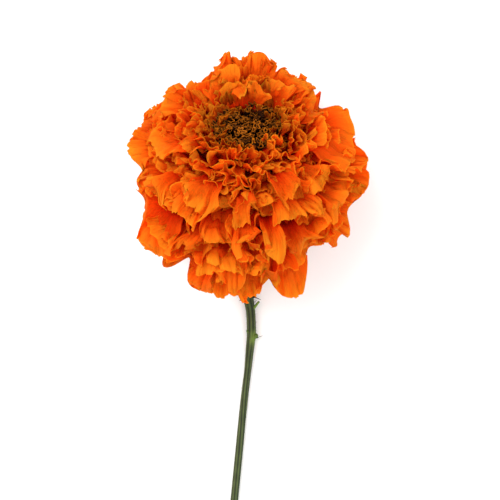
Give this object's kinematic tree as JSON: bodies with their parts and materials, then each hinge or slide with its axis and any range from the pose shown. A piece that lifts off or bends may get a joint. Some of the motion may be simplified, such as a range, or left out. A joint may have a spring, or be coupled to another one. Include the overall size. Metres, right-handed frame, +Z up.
{
  "type": "marigold flower",
  "caption": "Cut double marigold: a globe of ruffled orange petals round a dark disc, on a short green stem, lying on its back petals and stem.",
  "frame": {"origin": "middle of the flower's footprint, on the surface that it lies on", "axes": "+Z up from the surface; +Y along the stem from its cut end towards the head; +X to the right, seen from above with the head at the top"},
  "size_m": [0.0902, 0.1944, 0.0823],
  "materials": {
    "petal": "matt, velvety, slightly translucent orange petal",
    "disc": "matt dark brown florets with amber rims",
    "calyx": "satin grey-green leaf",
    "stem": "satin dark green stem with paler ribs"
  },
  "bodies": {
    "root": {"ray_florets": "petal", "disc_florets": "disc", "calyx": "calyx", "stem": "stem"}
  },
  "joints": []
}
